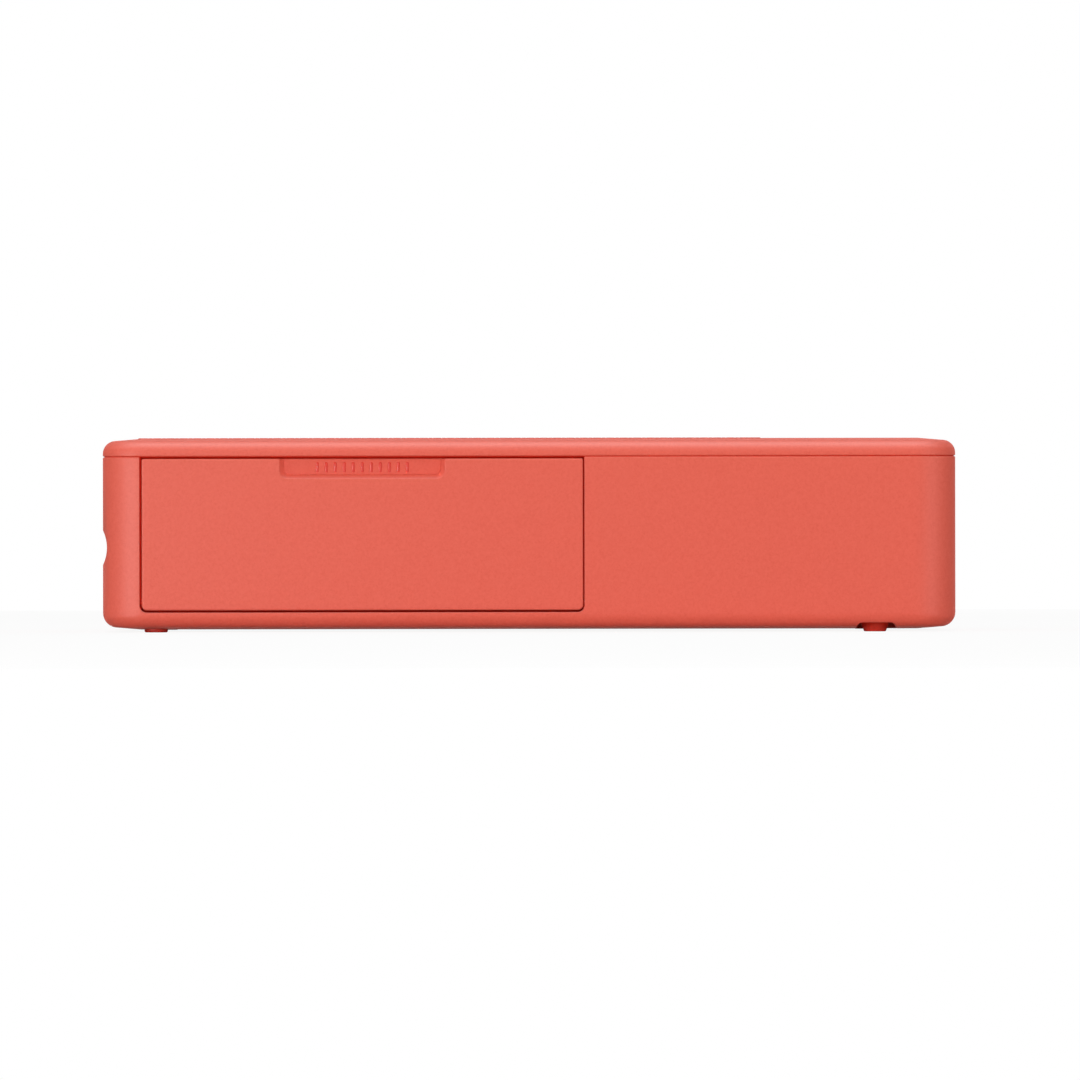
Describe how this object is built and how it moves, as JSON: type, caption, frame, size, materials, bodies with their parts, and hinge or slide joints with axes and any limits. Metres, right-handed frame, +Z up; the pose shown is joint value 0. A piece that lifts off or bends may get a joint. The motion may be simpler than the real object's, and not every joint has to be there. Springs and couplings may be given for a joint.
{
  "type": "compact photo printer",
  "caption": "Flat pocket-size photo printer with a lift-up paper cover, a hinged ink door on one long side, an exit slot in the front end and its rollers, gears and print head inside.",
  "frame": {"origin": "on the surface that it stands on, below the middle of the body", "axes": "+X along the body to the end with the power inlet, +Y across it away from the ink door, +Z up"},
  "size_m": [0.1458, 0.1022, 0.0332],
  "materials": {
    "aluminium": "extruded",
    "board": "solder mask",
    "brass": "turned",
    "ceramic": "glazed strip",
    "chip": "moulded epoxy",
    "film_wrap": "film",
    "grey_plastic": "moulded",
    "light_pipe": "frosted",
    "red_case": "fine moulded grain",
    "red_foot": "matte",
    "roller_rubber": "ground",
    "sheet_steel": "plated sheet",
    "steel": "ground",
    "white_gear": "moulded acetal"
  },
  "bodies": {
    "printer": {"bottom_case": "red_case", "top_cover": "red_case", "front_foot_door_side": "red_foot", "front_foot_drive_side": "red_foot", "rear_foot_door_side": "red_foot", "rear_foot_drive_side": "red_foot", "case_screws": "steel", "status_lights": "light_pipe", "button_board": "board", "paper_tray": "grey_plastic", "guide_plate": "sheet_steel", "side_plate_drive": "sheet_steel", "side_plate_door": "sheet_steel", "turn_guide": "grey_plastic", "main_motor": "steel", "ribbon_motor": "steel", "lift_motor": "steel", "head_pivot_shaft": "steel", "main_board": "board", "board_components": "chip", "power_inlet": "steel", "battery_pack": "film_wrap", "cassette_body": "grey_plastic", "ribbon_film": "film_wrap"},
    "paper_lid": {"paper_cover": "red_case", "paper_cover_pins": "red_case"},
    "side_door": {"ink_door": "red_case", "ink_door_pins": "red_case"},
    "button": {"power_button": "red_case"},
    "release": {"cover_release": "red_case"},
    "platen": {"platen_sleeve": "roller_rubber", "platen_shaft": "steel"},
    "capstan_set": {"capstan": "steel", "capstan_gear": "white_gear"},
    "pinch": {"pinch_roller": "roller_rubber"},
    "exit_low": {"exit_roller": "steel"},
    "exit_high": {"exit_idler": "grey_plastic"},
    "turn_roller": {"turn_sleeve": "roller_rubber", "turn_shaft": "steel", "turn_gear": "white_gear"},
    "pickup_roller": {"pickup_sleeve": "roller_rubber", "pickup_shaft": "white_gear"},
    "transfer": {"transfer_gear": "white_gear"},
    "reduction": {"reduction_gear": "white_gear"},
    "main_drive": {"main_pinion": "brass"},
    "supply": {"supply_spool": "white_gear", "supply_roll": "film_wrap"},
    "supply_drive": {"supply_hub": "white_gear"},
    "takeup": {"takeup_spool": "white_gear", "takeup_roll": "film_wrap"},
    "takeup_drive": {"takeup_hub": "white_gear"},
    "ribbon_transfer": {"ribbon_idler": "white_gear"},
    "ribbon_drive": {"ribbon_pinion": "brass"},
    "head": {"head_bracket": "sheet_steel", "heat_sink": "aluminium", "thermal_head": "ceramic"},
    "head_cam": {"cam_shaft": "white_gear", "cam_gear": "white_gear"},
    "lift_drive": {"lift_pinion": "brass"},
    "sensor": {"paper_sensor_lever": "grey_plastic"}
  },
  "joints": [
    {"name": "paper_cover_hinge", "type": "hinge", "parent": "printer", "child": "paper_lid", "pos_m": [0.0381, 0, 0.0324], "axis": [0, 1, 0], "range_deg": [0, 85]},
    {"name": "ink_door_hinge", "type": "hinge", "parent": "printer", "child": "side_door", "pos_m": [-0.02846, -0.0501, 0.005], "axis": [1, 0, 0], "range_deg": [0, 92]},
    {"name": "power_button_press", "type": "slide", "parent": "printer", "child": "button", "axis": [0, 0, -1], "range_m": [0, 0.0005], "stiffness_N_per_m": 1000, "springref_m": -0.0005},
    {"name": "cover_release_slide", "type": "slide", "parent": "printer", "child": "release", "axis": [1, 0, 0], "range_m": [0, 0.003], "stiffness_N_per_m": 200, "springref_m": -0.001},
    {"name": "platen_turn", "type": "hinge", "parent": "printer", "child": "platen", "pos_m": [-0.028, 0, 0.0096], "axis": [0, 1, 0], "continuous": true},
    {"name": "capstan_turn", "type": "hinge", "parent": "printer", "child": "capstan_set", "pos_m": [0.006, 0, 0.0114], "axis": [0, 1, 0], "continuous": true},
    {"name": "pinch_turn", "type": "hinge", "parent": "printer", "child": "pinch", "pos_m": [0.006, 0, 0.0176], "axis": [0, 1, 0], "continuous": true},
    {"name": "exit_roller_turn", "type": "hinge", "parent": "printer", "child": "exit_low", "pos_m": [-0.064, 0, 0.0114], "axis": [0, 1, 0], "continuous": true},
    {"name": "exit_idler_turn", "type": "hinge", "parent": "printer", "child": "exit_high", "pos_m": [-0.064, 0, 0.017], "axis": [0, 1, 0], "continuous": true},
    {"name": "turn_roller_turn", "type": "hinge", "parent": "printer", "child": "turn_roller", "pos_m": [0.04634, 0, 0.02095], "axis": [0, 1, 0], "continuous": true},
    {"name": "pickup_turn", "type": "hinge", "parent": "printer", "child": "pickup_roller", "pos_m": [0.03213, 0, 0.022], "axis": [0, 1, 0], "continuous": true},
    {"name": "transfer_turn", "type": "hinge", "parent": "printer", "child": "transfer", "pos_m": [0.03836, 0, 0.02154], "axis": [0, 1, 0], "continuous": true},
    {"name": "reduction_turn", "type": "hinge", "parent": "printer", "child": "reduction", "pos_m": [0.0168, 0, 0.0135], "axis": [0, 1, 0], "continuous": true},
    {"name": "main_pinion_turn", "type": "hinge", "parent": "printer", "child": "main_drive", "pos_m": [0.02614, 0, 0.0202], "axis": [0, 1, 0], "continuous": true},
    {"name": "supply_turn", "type": "hinge", "parent": "printer", "child": "supply", "pos_m": [-0.05, 0, 0.0204], "axis": [0, 1, 0], "continuous": true},
    {"name": "supply_hub_turn", "type": "hinge", "parent": "printer", "child": "supply_drive", "pos_m": [-0.05, 0, 0.0204], "axis": [0, 1, 0], "continuous": true},
    {"name": "takeup_turn", "type": "hinge", "parent": "printer", "child": "takeup", "pos_m": [-0.006, 0, 0.0204], "axis": [0, 1, 0], "continuous": true},
    {"name": "takeup_hub_turn", "type": "hinge", "parent": "printer", "child": "takeup_drive", "pos_m": [-0.006, 0, 0.0204], "axis": [0, 1, 0], "continuous": true},
    {"name": "ribbon_idler_turn", "type": "hinge", "parent": "printer", "child": "ribbon_transfer", "pos_m": [-0.00688, 0, 0.01346], "axis": [0, 1, 0], "continuous": true},
    {"name": "ribbon_pinion_turn", "type": "hinge", "parent": "printer", "child": "ribbon_drive", "pos_m": [-0.00758, 0, 0.008], "axis": [0, 1, 0], "continuous": true},
    {"name": "head_lift", "type": "hinge", "parent": "printer", "child": "head", "pos_m": [-0.0155, 0, 0.02425], "axis": [0, 1, 0], "range_deg": [0, 6]},
    {"name": "cam_turn", "type": "hinge", "parent": "printer", "child": "head_cam", "pos_m": [-0.0395, 0, 0.02195], "axis": [0, 1, 0], "range_deg": [0, 150]},
    {"name": "lift_pinion_turn", "type": "hinge", "parent": "printer", "child": "lift_drive", "pos_m": [-0.031, 0, 0.02195], "axis": [0, 1, 0], "range_deg": [-360, 0]},
    {"name": "sensor_tip", "type": "hinge", "parent": "printer", "child": "sensor", "pos_m": [-0.0164, 0, 0.0115], "axis": [0, 1, 0], "range_deg": [-30, 0], "stiffness_Nm_per_rad": 0.0004, "springref_deg": 5.73}
  ],
  "couplings": [
    {"joint": "transfer_turn", "follows": "turn_roller_turn", "ratio": -2.2},
    {"joint": "pickup_turn", "follows": "turn_roller_turn", "ratio": 1.4667},
    {"joint": "main_pinion_turn", "follows": "turn_roller_turn", "ratio": -2.2},
    {"joint": "reduction_turn", "follows": "turn_roller_turn", "ratio": 0.61111},
    {"joint": "capstan_turn", "follows": "turn_roller_turn", "ratio": -0.22917},
    {"joint": "pinch_turn", "follows": "turn_roller_turn", "ratio": 0.22917},
    {"joint": "supply_hub_turn", "follows": "supply_turn", "ratio": 1},
    {"joint": "takeup_turn", "follows": "supply_turn", "ratio": 1.3235},
    {"joint": "takeup_hub_turn", "follows": "supply_turn", "ratio": 1.3235},
    {"joint": "ribbon_idler_turn", "follows": "supply_turn", "ratio": -1.7647},
    {"joint": "ribbon_pinion_turn", "follows": "supply_turn", "ratio": 2.1176},
    {"joint": "cam_turn", "follows": "head_lift", "ratio": 25},
    {"joint": "lift_pinion_turn", "follows": "head_lift", "ratio": -60}
  ]
}
